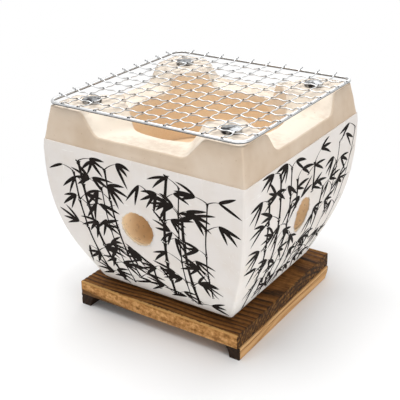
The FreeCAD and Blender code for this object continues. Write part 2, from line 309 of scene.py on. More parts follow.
bpy.context.scene.view_settings.view_transform = "Standard"
corners = np.array([[-1, -1, 0], [1, -1, 0], [1, 1, 0], [-1, 1, 0]]) * FLOOR_HALF
floor = add_mesh("floor", corners, [[0, 1, 2, 3]])
sweep = Finish("floor_white", base_color=SWEEP, roughness=1.0)
x, y, z = sweep.place.parts()
far = root(x * x + y * y).step(*SHADOW_REACH)
glow = far.node("ShaderNodeEmission", {}, {"Color": WHITE, "Strength": 1.0})
surface = Field(sweep.tree, sweep.shader.outputs[0])
shown = far.node("ShaderNodeMixShader", {}, {0: far * shows_white(far), 1: surface, 2: glow})
sweep.tree.links.new(shown.socket, sweep.tree.nodes["Material Output"].inputs["Surface"])
floor.data.materials.append(sweep.material)
print("floor: keeps the shadow within", SHADOW_REACH, "m of the middle")

# %% Surround
SURROUND = (0.26, 0.26, 0.26, 1.0)

world = bpy.data.worlds.new("surround")
bpy.context.scene.world = world
world.use_nodes = True
air = Field(world.node_tree)
lit = Field(world.node_tree, world.node_tree.nodes["Background"].outputs[0])
world.node_tree.nodes["Background"].inputs["Color"].default_value = SURROUND
plain = air.node("ShaderNodeBackground", {}, {"Color": WHITE, "Strength": 1.0})
sky = air.node("ShaderNodeMixShader", {}, {0: shows_white(air), 1: lit, 2: plain})
world.node_tree.links.new(sky.socket, world.node_tree.nodes["World Output"].inputs["Surface"])
print("surround: white to the camera and in reflections,", SURROUND[0], "as light")

# %% Lamps
LAMPS = (
    ("lamp_overhead", (-0.10, -0.05, 0.95), (0, 0, 0.1), 0.9, 9.8),
    ("lamp_front", (0.40, -0.95, 0.14), (0, 0, 0.04), 0.5, 1.6),
    ("lamp_right", (1.05, -0.30, 0.20), (0, 0, 0.05), 0.8, 4.4),
    ("lamp_rear", (-0.10, 0.85, 0.70), (0, 0, 0.12), 0.7, 2.4),
)


def soft_lamp(name, place, aim, size, power):
    """Square area lamp at a place, turned to what it lights."""
    lamp = bpy.data.objects.new(name, bpy.data.lights.new(name, "AREA"))
    lamp.data.size = size
    lamp.data.energy = power
    lamp.location = place
    lamp.rotation_mode = "QUATERNION"
    lamp.rotation_quaternion = (Vector(aim) - Vector(place)).to_track_quat("-Z", "Y")
    bpy.context.scene.collection.objects.link(lamp)


for lamp_row in LAMPS:
    soft_lamp(*lamp_row)
print("lamps:", len(LAMPS), "of", round(sum(lamp_row[-1] for lamp_row in LAMPS), 1), "W together")

# %% [markdown]
# ## The stove's section
# The stove is square, with small round corners and sides that swell like a jar: a straight foot, a belly
# that follows a power curve, and a band that draws in to the rim. We write the half width as a function
# of height, and the distance from the middle to the wall as a function of direction. With these two the
# clay and the paper can both be laid on the same form.

# %% Sections
stove_low, stove_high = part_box("stove_body")
BASE_Z, RIM_Z = stove_low.z, stove_high.z
BELLY_HALF = stove_high.x
BASE_HALF = 0.0499
KNEE_HALF = 0.0600
SHOULDER_HALF = 0.0742
RIM_HALF = 0.0702
KNEE_Z = BASE_Z + 0.0218
BELLY_Z = BASE_Z + 0.1003
SHOULDER_Z = BASE_Z + 0.1063
CORNER = 0.0012
FOOT_ROUND = 0.004
BELLY_POWER = 2.5


def half_width(z):
    """Half width of the clay: straight foot, bulging belly, short neck, and the band drawn in to the rim.

    The belly draws in with a power of the depth below its widest place. Close to the base, a quarter
    circle is taken off the foot.
    """
    under = np.clip(BASE_Z + FOOT_ROUND - z, 0, FOOT_ROUND)
    foot = BASE_HALF + (KNEE_HALF - BASE_HALF) * (z - BASE_Z) / (KNEE_Z - BASE_Z)
    foot = foot - FOOT_ROUND + np.sqrt(FOOT_ROUND ** 2 - under ** 2)
    depth = np.clip((BELLY_Z - z) / (BELLY_Z - KNEE_Z), 0, 1)
    belly = BELLY_HALF - (BELLY_HALF - KNEE_HALF) * depth ** BELLY_POWER
    neck = BELLY_HALF + (SHOULDER_HALF - BELLY_HALF) * (z - BELLY_Z) / (SHOULDER_Z - BELLY_Z)
    band = SHOULDER_HALF + (RIM_HALF - SHOULDER_HALF) * (z - SHOULDER_Z) / (RIM_Z - SHOULDER_Z)
    return np.select([z < KNEE_Z, z < BELLY_Z, z < SHOULDER_Z], [foot, belly, neck], band)


def square_reach(angle, half, corner):
    """Distance from the middle of a round-cornered square to its edge, in the direction of an angle.

    On a flat side it is half over the cosine of the angle to the side's normal. On a corner it is where
    the ray leaves the corner's circle.
    """
    quarter = np.pi / 2
    folded = np.abs((angle + quarter / 2) % quarter - quarter / 2)
    inner = half - corner
    along = inner * (np.cos(folded) + np.sin(folded))
    on_corner = along + np.sqrt(np.maximum(along ** 2 - 2 * inner ** 2 + corner ** 2, 0))
    return np.where(np.tan(folded) * half <= inner, half / np.cos(folded), on_corner)


def filleted(corners, rounds, steps=8):
    """Outline through corners whose sharp turns are replaced by tangent arcs of given radii."""
    corners = np.array(corners, float)
    runs = []
    neighbours = (np.roll(corners, 1, 0), corners, np.roll(corners, -1, 0))
    for before, corner, after, radius in zip(*neighbours, rounds):
        back_way = (before - corner) / np.linalg.norm(before - corner)
        ahead = (after - corner) / np.linalg.norm(after - corner)
        half_angle = np.arccos(np.clip(back_way @ ahead, -1, 1)) / 2
        if radius == 0 or half_angle > 0.49 * np.pi:
            runs.append(corner[None])
            continue
        bisector = (back_way + ahead) / np.linalg.norm(back_way + ahead)
        centre = corner + bisector * radius / np.sin(half_angle)
        turn = np.pi / 2 - half_angle
        side = np.cross(back_way, ahead)
        sweep_angle = np.linspace(-turn, turn, steps) * -np.sign(side)
        spoke = -bisector * radius
        cosine, sinus = np.cos(sweep_angle), np.sin(sweep_angle)
        arc = [spoke[0] * cosine - spoke[1] * sinus, spoke[0] * sinus + spoke[1] * cosine]
        runs.append(centre + np.stack(arc, 1))
    return np.concatenate(runs)


print("belly", round(2 * BELLY_HALF * 1000, 1), "mm wide, rim", round(RIM_Z * 1000, 1), "mm high")

# %% [markdown]
# ## Clay
# The stove is fired diatomite: pale and sandy where it was dipped in slip, and a raw orange tan inside
# the firebox and in the air holes. The slip is soft and dull, with faint clouds and pin holes. A mask by
# place decides which of the two shows: raw inside the mouth and below the band, slip elsewhere. The raw
# clay at the rear right of the mouth and below the grate is painted paler, as painted light, and the outer
# edges of the air holes are chipped. The top of the rim and the scoops are painted paler than the outside,
# as painted light.

# %% Clay grain
clay = Finish("clay", roughness=0.85, specular_ior_level=0.25)
clouds = clay.place.noise(38.0)
grain = clay.place.noise(900.0, 4.0)
sand = clay.place.noise(2600.0, 2.0)
crumbs = clay.place.noise(330.0, 3.0).step(0.60, 0.68) * 0.35
scrapes = clouds * 0.65 + clay.place.noise(240.0, 5.0, 0.7) * 0.35
pits = clay.place.node("ShaderNodeTexVoronoi", {}, {"Vector": clay.place, "Scale": 260.0})
pin_holes = 1.0 - pits.step(0.05, 0.13)
print("clay grain: clouds of about", round(1000 / 38.0), "mm and sand under 1 mm")

# %% Clay places
MOUTH_RADIUS = 0.0523
LEDGE_Z = BASE_Z + 0.072
SLIP_LOW_Z = SHOULDER_Z - 0.0045
MASK_EDGE = 0.0005
MOUTH_EDGE = 0.0004
PAINTED_LIGHT_WAY = (0.83, 0.55)
PAINTED_LIGHT_SPAN = (0.82 * MOUTH_RADIUS, 0.90 * MOUTH_RADIUS)
CHIP_DEPTH = (0.0006, 0.0016)
PAINTED_LIGHT_DEPTH = (0.0005, 0.0016)

x, y, z = clay.place.parts()
inside = 1.0 - root(x * x + y * y).step(MOUTH_RADIUS - MOUTH_EDGE, MOUTH_RADIUS + MOUTH_EDGE)
below = 1.0 - z.step(SLIP_LOW_Z - MASK_EDGE, SLIP_LOW_Z + MASK_EDGE)
# Painted light: below the grate ledge the raw clay is painted paler, in the shaded ash space and air holes.
painted_light_low = 1.0 - z.step(LEDGE_Z - MASK_EDGE, LEDGE_Z + MASK_EDGE)
on_rim = z.close_to(RIM_Z, 0.0030, 0.0012) * 0.9
off_axis = abs(x) | abs(y)
depth = ((BELLY_Z - z) / (BELLY_Z - KNEE_Z)) | 0.0
in_wall = BELLY_HALF - (depth ** BELLY_POWER) * (BELLY_HALF - KNEE_HALF) - off_axis
band_slope = (RIM_HALF - SHOULDER_HALF) / (RIM_Z - SHOULDER_Z)
in_band = SHOULDER_HALF + (z - SHOULDER_Z) * band_slope - off_axis
# Painted light: the top of the rim and the scoops are painted paler than the outer band.
painted_light_top = in_band.step(*PAINTED_LIGHT_DEPTH)
chipped = (1.0 - (in_wall - (clouds - 0.5) * 0.006).step(*CHIP_DEPTH)) * below
# Painted light: the raw clay at the rear right of the mouth is painted pale, where that wall faces the
# light.
painted_light_lap = (x * PAINTED_LIGHT_WAY[0] + y * PAINTED_LIGHT_WAY[1] + (clouds - 0.5) * 0.010).step(*PAINTED_LIGHT_SPAN) * 0.85
print("mouth", round(2000 * MOUTH_RADIUS, 1), "mm wide, grate ledge", round(1000 * LEDGE_Z, 1), "mm high")

# %% Clay colours
SLIP = srgb(215, 196, 175)
SLIP_PALE = srgb(222, 206, 188)
SLIP_WARM = srgb(205, 183, 159)
RAW = srgb(244, 222, 192)
RAW_DARK = srgb(236, 208, 174)
PIT = srgb(178, 148, 118)
PAINTED_LIGHT_SLIP = srgb(240, 228, 212)
RIM_TOP = srgb(222, 209, 194)
PAINTED_LIGHT_RAW = srgb(255, 227, 188)
CHIPPED = srgb(228, 206, 174)
CLAY_RELIEF = 0.00012

raw_color = (clouds * 0.5 + grain * 0.5).ramp((0.35, RAW_DARK), (0.6, RAW))
bare_color = painted_light_low.blend(painted_light_lap.blend(raw_color, PAINTED_LIGHT_SLIP), crumbs.blend(PAINTED_LIGHT_RAW, PIT))
outer_color = clouds.ramp((0.32, SLIP_WARM), (0.52, SLIP), (0.72, SLIP_PALE))
painted_light_color = on_rim.blend(scrapes.ramp((0.36, SLIP_PALE), (0.50, PAINTED_LIGHT_SLIP)), RIM_TOP)
slip_color = painted_light_top.blend(outer_color, painted_light_color)
two_clays = chipped.blend((inside | below).blend(slip_color, bare_color), CHIPPED)
speckled = (pin_holes * grain.step(0.45, 0.6) * 0.6).blend(two_clays, PIT)
relief = grain * 0.5 + sand * 0.3 - pin_holes * 0.5
clay.feed(relief, CLAY_RELIEF, base_color=speckled, roughness=0.78 + grain * 0.2)
print("clay: slip outside, raw inside")

# %% [markdown]
# ## The stove body
# Its rim has a scoop on each side, and the flanks of a scoop run towards the middle of the stove. So the
# rim's height depends on direction alone, and the whole stove is one profile carried round the axis: up
# the wall, over the rim, down the firebox, across the grate's ledge and onto the ash floor. The rim's
# edges are rounded in that profile. The scoops are cut by hand, so their ends differ a little: each end
# has a place where its floor stops and one where the rim begins. The air holes are cut afterwards, each
# with a slightly uneven tube.

# %% Rim outline
SCOOP_DEPTH = 0.0134
SCOOP_END = (0.0345, 0.0425)
LONG_END = (0.0322, 0.0448)
FAR_END = (0.0372, 0.0452)
SCOOP_ENDS = ((LONG_END, LONG_END), (SCOOP_END, FAR_END), (SCOOP_END, SCOOP_END), (SCOOP_END, SCOOP_END))
RIM_START = -0.001
RIM_RUN = ((0.052, 0.002), (0.09, 0.014))
SCOOP_ROUNDS = (0, 0.009, 0.008, 0, 0)
RIM_SOFT = 0.0004
HAND_WAVE = 0.00018


def rim_height(angle):
    """Height of the rim in a direction: a scoop's outline, read at the tangent of the angle to its side.

    Each end of a scoop has its own outline. The outline is kept under the rim by a soft minimum.
    """
    quarter = np.pi / 2
    nearest = np.round(angle / quarter)
    across = np.tan(angle - nearest * quarter) * RIM_HALF
    rise = np.zeros_like(angle)
    for side, ends in enumerate(SCOOP_ENDS):
        for hand, (floor_end, rim_start) in zip((-1, 1), ends):
            scoop = ((0.0, -SCOOP_DEPTH), (floor_end, -SCOOP_DEPTH), (rim_start, RIM_START))
            outline = filleted(scoop + RIM_RUN, SCOOP_ROUNDS, 12)
            here = (nearest % 4 == side) & (hand * across >= 0)
            rise = np.where(here, np.interp(np.abs(across), outline[:, 0], outline[:, 1]), rise)
    clipped = (rise - np.sqrt(rise ** 2 + RIM_SOFT ** 2)) / 2
    return RIM_Z + clipped + HAND_WAVE * (ripple(3 * angle, 5 * angle, 11 * angle) - 1)


spans = ((0, 17, 10), (17, 38, 38), (38, 43, 6), (43, 44.4, 4))
octant = np.concatenate([np.linspace(*span)[:-1] for span in spans] + [np.linspace(44.4, 45, 8)])
octant = np.radians(octant)
quarter_angles = np.concatenate([-octant[:0:-1], octant[:-1]])
angles = np.concatenate([quarter_angles + turn * np.pi / 2 for turn in range(4)])
rim = rim_height(angles)
print("rim:", len(angles), "directions,", round(1000 * np.ptp(rim), 1), "mm from lowest to highest")

# %% Stove surface
EDGE_ROUND = 0.0009
MOUTH_ROUND = 0.0018
SEAT_RADIUS = 0.050
ASH_RADIUS = 0.046
ASH_ROUND = 0.003
ASH_FLOOR_Z = BASE_Z + 0.0445

rows = []
foot_levels = BASE_Z + FOOT_ROUND * (1 - np.cos(np.linspace(0, np.pi / 2, 7)))[:-1]
wall = np.concatenate([foot_levels, np.linspace(BASE_Z + FOOT_ROUND, KNEE_Z, 5)[:-1],
                       np.linspace(KNEE_Z, BELLY_Z, 22), [SHOULDER_Z]])
for z_level in wall:
    rows.append((square_reach(angles, half_width(z_level), CORNER), np.full_like(angles, z_level)))
for share in np.linspace(0, 1, 10)[1:]:
    z_level = SHOULDER_Z + (rim - EDGE_ROUND - SHOULDER_Z) * share
    wave = HAND_WAVE * ripple(4 * angles + 9 * share, 9 * angles - 5 * share) * np.sin(np.pi * share)
    rows.append((square_reach(angles, half_width(z_level), CORNER) + wave, z_level))
edge_radius = square_reach(angles, half_width(rim - EDGE_ROUND), CORNER) - EDGE_ROUND
for lift in np.linspace(0, np.pi / 2, 7)[1:]:
    rows.append((edge_radius + EDGE_ROUND * np.cos(lift), rim - EDGE_ROUND * (1 - np.sin(lift))))
for share in np.linspace(0, 1, 9)[1:]:
    dip = HAND_WAVE * (1 - np.cos(2 * np.pi * share)) * ripple(6 * angles, 13 * angles)
    rows.append((edge_radius + (MOUTH_RADIUS + MOUTH_ROUND - edge_radius) * share, rim + dip / 2))
for lift in np.linspace(0, np.pi / 2, 7)[1:]:
    rows.append((np.full_like(angles, MOUTH_RADIUS + MOUTH_ROUND * (1 - np.sin(lift))),
                 rim - MOUTH_ROUND * (1 - np.cos(lift))))
for share in np.linspace(0, 1, 10)[1:]:
    rows.append((np.full_like(angles, MOUTH_RADIUS + (SEAT_RADIUS - MOUTH_RADIUS) * share),
                 rim - MOUTH_ROUND + (LEDGE_Z - rim + MOUTH_ROUND) * share))
for radius, z_level in ((ASH_RADIUS, LEDGE_Z), (ASH_RADIUS, (LEDGE_Z + ASH_FLOOR_Z) / 2),
                        (ASH_RADIUS, ASH_FLOOR_Z + ASH_ROUND), (ASH_RADIUS - ASH_ROUND, ASH_FLOOR_Z)):
    rows.append((np.full_like(angles, radius), np.full_like(angles, z_level)))
radii = np.array([row[0] for row in rows])
heights = np.array([row[1] for row in rows])
stove_points = np.stack([radii * np.sin(angles), -radii * np.cos(angles), heights], axis=-1)
stove = add_mesh("stove_clay_body", stove_points, capped(len(rows), len(angles)))
print("stove:", len(rows), "rings of", len(angles), "points")

# %% Air holes
VENT_RADIUS = 0.0115
VENT_Z = BASE_Z + 0.0595
VENT_SIDESTEPS = (-0.0035, 0.0012, 0.0, 0.0)

spin = np.linspace(0, 2 * np.pi, 65)[:-1]
cut_reach = np.array([0.02, BELLY_HALF + 0.005])
for quarters, sidestep in enumerate(VENT_SIDESTEPS):
    cut_radius = VENT_RADIUS + HAND_WAVE * ripple(3 * spin + quarters, 5 * spin, 8 * spin)
    ring_x = sidestep + cut_radius * np.cos(spin)
    ring_z = VENT_Z + cut_radius * np.sin(spin)
    tube_x, tube_y, tube_z = np.broadcast_arrays(ring_x, -cut_reach[:, None], ring_z)
    cutter_points = np.stack([*turned(quarters, tube_x, tube_y), tube_z], axis=-1)
    cutter = add_mesh("vent_cutter", cutter_points, capped(2, len(spin)))
    cut = stove.modifiers.new("vent", "BOOLEAN")
    cut.object = cutter
    cut.solver = "EXACT"
    bpy.context.view_layer.update()
    whole = stove.evaluated_get(bpy.context.evaluated_depsgraph_get())
    stove.data = bpy.data.meshes.new_from_object(whole)
    stove.modifiers.clear()
    bpy.data.objects.remove(cutter)
stove.data.materials.clear()
stove.data.set_sharp_from_angle(angle=np.radians(40))
dress(stove, "stove", "stove_clay", clay.material, "stove_body")

# %% [markdown]
# ## Paper wrap
# The wrap is tough fibrous paper, pasted on in four panels. Each panel has a ragged hole at its air hole,
# so its grid runs from that hole out to the panel's edge, like the rings of a target that turn square.
# In the flat, a point is a distance across the panel and a height. One function lays it on the stove,
# round the corner too, and the brush strokes will use the same function. The top edge is a little askew
# at one corner, and the sheet is painted whiter near the foot, as painted light against the shade there.

# %% Paper on the stove
paper_low, paper_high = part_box("paper_front")
PAPER_LOW_Z, PAPER_HIGH_Z = paper_low.z, paper_high.z
PAPER_LIFT = 0.00074
PAPER_THICKNESS = 0.0006
PAPER_HOLE = 0.0118
NARROW_HOLES = (0.0, 0.0028, 0.0006, 0.0012)
RAGGED_HOLES = (0.0007, 0.0012, 0.0005, 0.0006)
TEAR, TEAR_TURN = 0.0012, 0.72 * np.pi
TOP_DIPS = ((0.0, 0.0013), (0.0013, 0.0), (0.0, 0.0), (0.0, 0.0))
COCKLE = 0.00008
SIDES = ("front", "right", "rear", "left")


def panel_reach(z):
    """Distance across the paper from the middle of a panel to its mitre, at a height."""
    return half_width(z) - CORNER + (CORNER + PAPER_LIFT) * np.pi / 4


def cockle(across, z, side):
    """Slight swelling of pasted paper, in metres: slow waves that differ from side to side."""
    slow = ripple(across * 90 + side, z * 110 + 2 * side, (across + z) * 160, (across - z) * 240 + side)
    return COCKLE * (slow - 1)


def lay_on_stove(side, across, z, lift):
    """Point on one side of the stove: flat in the middle, then round the corner's arc, raised by a lift."""
    half = half_width(z)
    flat = half - CORNER
    bend = np.clip(np.abs(across) - flat, 0, None) / (CORNER + PAPER_LIFT)
    radius = CORNER + lift
    x = np.clip(across, -flat, flat) + np.sign(across) * radius * np.sin(bend)
    y = -(flat + radius * np.cos(bend))
    return np.stack([*turned(side, x, y), z], axis=-1)


def top_edge(side, share):
    """Height of a panel's top edge, a straight line from its left end, share -1, to its right end, 1."""
    return PAPER_HIGH_Z - np.interp(share, (-1, 1), TOP_DIPS[side])


def panel_grid(side):
    """Flat grid of a panel, from the ragged circle of its air hole to its outline, as (across, height)."""
    share = np.linspace(-1, 1, 70)
    top_z = top_edge(side, -share)
    top = np.stack([-share * panel_reach(top_z), top_z], 1)
    low = np.stack([share * panel_reach(PAPER_LOW_Z), np.full_like(share, PAPER_LOW_Z)], 1)
    upward = np.linspace(PAPER_LOW_Z, top_edge(side, 1), 60)
    right = np.stack([panel_reach(upward), upward], 1)
    downward = np.linspace(top_edge(side, -1), PAPER_LOW_Z, 60)
    left = np.stack([-panel_reach(downward), downward], 1)
    outline = np.concatenate([right[:-1], top[:-1], left[:-1], low[:-1]])
    centre = np.array([VENT_SIDESTEPS[side], VENT_Z])
    ray = outline - centre
    around = np.arctan2(ray[:, 1], ray[:, 0])
    torn = TEAR * np.clip(np.cos(around + TEAR_TURN), 0, 1)
    narrowed = NARROW_HOLES[side] * np.cos(around) ** 2
    ragged = RAGGED_HOLES[side] * ripple(3 * around + side, 5 * around, 9 * around, 14 * around)
    cut = PAPER_HOLE + torn - narrowed + ragged
    hole = centre + cut[:, None] * np.stack([np.cos(around), np.sin(around)], 1)
    outward = np.concatenate([np.linspace(0, 0.93, 26)[:-1], np.linspace(0.93, 1, 9)])[:, None, None]
    return hole + (outline - hole) * outward


print("panel reach", [round(float(panel_reach(z)) * 1000, 1) for z in (PAPER_LOW_Z, BELLY_Z)], "mm")

# %% Paper finish
PAPER = srgb(234, 228, 223)
PAPER_WARM = srgb(226, 215, 203)
FIBRE = srgb(246, 243, 238)
FIBRE_WAYS = ((1, 1, 0.12), (0.14, 0.14, 1))
PAINTED_LIGHT_FOOT = 0.050
PAPER_RELIEF = 0.00010

paper = Finish("wrap_paper", roughness=0.92, specular_ior_level=0.2)
fibres = [paper.place.stretched(*way).noise(520.0, 5.0, 0.6) for way in FIBRE_WAYS]
strands = fibres[0] | fibres[1]
clouds = paper.place.noise(55.0, 4.0)
aged = clouds.step(0.4, 0.75) * 0.4
# Painted light: the paper is painted whiter near its foot, which faces down and lies in shade.
painted_light_foot = 1.0 - paper.place.parts()[2].step(PAPER_LOW_Z, PAPER_LOW_Z + PAINTED_LIGHT_FOOT)
ground = aged.blend(painted_light_foot.blend(PAPER, FIBRE), PAPER_WARM)
sheet = strands.step(0.62, 0.74).blend(ground, FIBRE)
paper.feed(strands + clouds * 0.4, PAPER_RELIEF, base_color=sheet)
print("paper: fibres in", len(FIBRE_WAYS), "directions, whiter within", PAINTED_LIGHT_FOOT * 1000, "mm of its foot")

# %% Paper panels
for side, side_name in enumerate(SIDES):
    flat = panel_grid(side)
    across, z = flat[..., 0], flat[..., 1]
    points = lay_on_stove(side, across, z, PAPER_LIFT + cockle(across, z, side))
    rows, columns = across.shape
    faces = grid_quads(rows, columns, closed=True)[:, ::-1]
    panel = add_mesh("wrap_panel_" + side_name, points, faces.tolist())
    wall = panel.modifiers.new("thickness", "SOLIDIFY")
    wall.thickness = PAPER_THICKNESS
    wall.offset = -1.0
    dress(panel, "stove", "wrap_paper", paper.material, "paper_" + side_name)

# %% [markdown]
# ## Brush print
# Such wraps carry a print in black ink. Here it is a grove of bamboo, a motif that brush painters have
# always shared: jointed stems, fine twigs and bunches of pointed leaves. A stroke is a bent line, a
# quadratic curve through three points, with a width that swells and tapers along it. All the strokes of
# one panel are worked out together as arrays and laid on the paper as thin ribbons.

# %% Ink finish
INK = srgb(26, 20, 17)
INK_DRY = srgb(78, 68, 62)

ink = Finish("brush_ink", roughness=0.8, specular_ior_level=0.12)
on_stroke = ink.place.node("ShaderNodeUVMap", {"uv_map": "stroke"})
along_brush = on_stroke.stretched(3.0, 40.0, 0.0).noise(1.6, 3.0)
tone = ink.place.noise(240.0, 3.0)
dryness = along_brush.step(0.56, 0.74) * 0.7 + tone.step(0.55, 0.75) * 0.3
ink.feed(base_color=dryness.blend(INK, INK_DRY))
print("ink: black, with dry streaks along the stroke")

# %% Strokes
STROKE_POINTS = 13
INK_LIFT = 0.00005
PRINT_MARGIN = 0.0007
HOLE_MARGIN = 0.002


def leaf_width(t):
    """Width of a leaf along its length: a quick swelling and a long pointed tip."""
    return 2.1 * np.sqrt(t + 0.02) * (1 - t) ** 0.8


def stem_width(t):
    """Width of a stem between two joints: nearly even, a little wider where the brush starts and stops."""
    return 0.82 + 0.5 * (2 * t - 1) ** 6


def twig_width(t):
    """Width of a twig: it thins out towards its tip."""
    return 1.15 - 0.85 * t


def ribbons(strokes, width_at):
    """Flat points of many strokes: each is a quadratic curve with a width along it.

    A stroke row holds start, control and end points and a width. The edges lie half a width to each side
    of the curve, square to its tangent.
    """
    start, control, end = strokes[:, None, 0:2], strokes[:, None, 2:4], strokes[:, None, 4:6]
    t = np.linspace(0, 1, STROKE_POINTS)[None, :, None]
    spine = (1 - t) ** 2 * start + 2 * t * (1 - t) * control + t ** 2 * end
    tangent = 2 * (1 - t) * (control - start) + 2 * t * (end - control)
    tangent /= np.linalg.norm(tangent, axis=-1, keepdims=True)
    square = np.stack([-tangent[..., 1], tangent[..., 0]], axis=-1)
    half = strokes[:, None, 6:7] * width_at(t) / 2
    offsets = np.array([-1.0, 0.0, 1.0])[None, None, :, None]
    return spine[:, :, None] + square[:, :, None] * half[:, :, None] * offsets


def inside_panel(side, strokes):
    """The strokes that stay on the paper: off its edges and clear of the air hole."""
    points = strokes[:, :6].reshape(-1, 3, 2)
    across, z = points[..., 0], points[..., 1]
    reach = panel_reach(z)
    under_top = z < top_edge(side, across / reach) - PRINT_MARGIN
    on_paper = (np.abs(across) < reach - PRINT_MARGIN) & (z > PAPER_LOW_Z + PRINT_MARGIN) & under_top
    centre = np.array([VENT_SIDESTEPS[side], VENT_Z])
    middle = (points[:, :1] + 2 * points[:, 1:2] + points[:, 2:]) / 4
    to_hole = np.linalg.norm(np.hstack([points, middle]) - centre, axis=-1) - PAPER_HOLE
    return strokes[on_paper.all(1) & (to_hole > HOLE_MARGIN).all(1)]


print("strokes of", STROKE_POINTS, "points each")

# %% Bamboo
STEMS = 9
STEM_SPREAD = 0.132
STEM_WIDTHS = [0.0011, 0.0017, 0.0025]
JOINT_STEP = 0.0185
JOINT_GAP = 0.035
TWIG_SHARE = 0.74
LEAF_FAN, FAN_STEP = (-1.45, -0.35), 0.42
LEAF_LENGTHS = (0.011, 0.0175)
LEAF_WIDTHS = (0.0020, 0.0029)


def grove(side):
    """Stems, joint marks, twigs and leaves of one panel, drawn by rules from a fixed seed."""
    draw = np.random.default_rng(40 + side)
    stems, twigs, leaves = [], [], []
    for number in range(STEMS):
        across = STEM_SPREAD * ((number + 0.5) / STEMS - 0.5) + draw.uniform(-0.004, 0.004)
        lean = draw.uniform(-0.10, 0.10)
        width = draw.choice(STEM_WIDTHS)
        low = PAPER_LOW_Z + draw.uniform(-0.012, 0.006)
        top = PAPER_HIGH_Z - draw.uniform(-0.012, 0.022)
        joints = np.arange(low, top, JOINT_STEP * draw.uniform(0.8, 1.1))
        spread = across * (0.72 + 0.28 * (joints - PAPER_LOW_Z) / (PAPER_HIGH_Z - PAPER_LOW_Z))
        line = np.stack([spread + lean * (joints - low), joints], 1)
        for start, end in zip(line, line[1:]):
            gap = (end - start) * JOINT_GAP
            bow = draw.normal(0, 0.0003, 2)
            stems.append([*(start + gap), *((start + end) / 2 + bow), *(end - gap), width])
            mark = np.array([width * 0.85, 0.0])
            twigs.append([*(end - mark), *(end + [0, -0.0009]), *(end + mark), 0.0009])
            for hand in (-1, 1):
                if draw.random() < TWIG_SHARE:
                    tip = end + [hand * draw.uniform(0.005, 0.010), draw.uniform(0.002, 0.007)]
                    twigs.append([*end, *((end + tip) / 2 + [0, 0.0012]), *tip, 0.0007])
                    fan = draw.uniform(*LEAF_FAN) + np.arange(draw.integers(2, 5)) * FAN_STEP
                    for tilt in fan:
                        length = draw.uniform(*LEAF_LENGTHS)
                        reach = length * np.array([hand * np.cos(tilt), np.sin(tilt)])
                        bend = tip + reach / 2 + draw.normal(0, 0.0006, 2) + [0, 0.0009]
                        leaves.append([*tip, *bend, *(tip + reach), draw.uniform(*LEAF_WIDTHS)])
    kept = [inside_panel(side, np.array(group)) for group in (stems, twigs, leaves)]
    widths = (stem_width, twig_width, leaf_width)
    return np.concatenate([ribbons(group, width) for group, width in zip(kept, widths)])


for side, side_name in enumerate(SIDES):
    flat = grove(side)
    count = len(flat)
    across, z = flat[..., 0], np.clip(flat[..., 1], PAPER_LOW_Z, PAPER_HIGH_Z)
    points = lay_on_stove(side, across, z, PAPER_LIFT + cockle(across, z, side) + INK_LIFT)
    strip = grid_quads(STROKE_POINTS, 3)[:, ::-1]
    faces = (strip[None] + (np.arange(count) * STROKE_POINTS * 3)[:, None, None]).reshape(-1, 4)
    print_piece = add_mesh("brush_print_" + side_name, points, faces.tolist())
    u = np.broadcast_to(np.linspace(0, 1, STROKE_POINTS)[None, :, None], (count, STROKE_POINTS, 3))
    v = np.broadcast_to(np.array([0.0, 0.5, 1.0])[None, None] + np.arange(count)[:, None, None], u.shape)
    corner_uv = np.stack([u.ravel(), v.ravel()], 1)[faces.ravel()]
    layer = print_piece.data.uv_layers.new(name="stroke")
    layer.data.foreach_set("uv", corner_uv.astype(np.float32).ravel())
    dress(print_piece, "stove", "wrap_paper", ink.material)

# %% [markdown]
# ## Steel
# The net is bright drawn wire. Its colour is darkened in small spots at the crossings and at the cut ends,
# and the lower sides of the wires and of the frame are painted darker, as painted shade. A number kept on
# each point of the mesh says how dark it is there, and the finish darkens by it.

# %% Steel finishes
STEEL = srgb(200, 201, 202)
STEEL_SHADE_AND_SPOTS = srgb(38, 37, 36)
CHROME = srgb(156, 158, 160)
CHROME_PAINTED_REFLECTION = srgb(40, 40, 42)

steel = Finish("net_wire", metallic=1.0)
wear = steel.place.node("ShaderNodeAttribute", {"attribute_name": "wear"}, output="Fac")
drawn = steel.place.noise(420.0, 3.0)
# Painted shade and dark spots: the number kept on each point darkens the steel's colour.
darkened = (wear * (0.7 + drawn * 0.6)).step(0.25, 0.95)
steel.feed(base_color=darkened.blend(STEEL, STEEL_SHADE_AND_SPOTS), roughness=0.24 + drawn * 0.16 + darkened * 0.2)

chrome = Finish("stud_chrome", metallic=1.0)
# Painted reflection: the chrome is mid grey with dark blots painted into its colour, for dark surroundings
# reflected.
painted_reflection_blots = chrome.place.noise(260.0, 4.0)
chrome.feed(base_color=painted_reflection_blots.step(0.44, 0.60).blend(CHROME, CHROME_PAINTED_REFLECTION), roughness=0.08 + painted_reflection_blots * 0.14)
for node in ("stud_front_left", "stud_front_right", "stud_rear_right", "stud_rear_left"):
    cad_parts[node].material_slots[0].material = chrome.material
print("steel: net wire and stud chrome")

# %% [markdown]
# ## Net
# A wire is a round section carried along a path. The path of a mesh wire lies in an upright plane: it
# goes over and under each crossing wire, and its ends lie over the frame, where they are welded. The
# crimps are a sum of two cosines. Every third crest falls on a crossing, and the two lower ones between
# crossings stiffen the wire. Neighbouring wires start on opposite sides, so the wires weave.

# %% Round wire


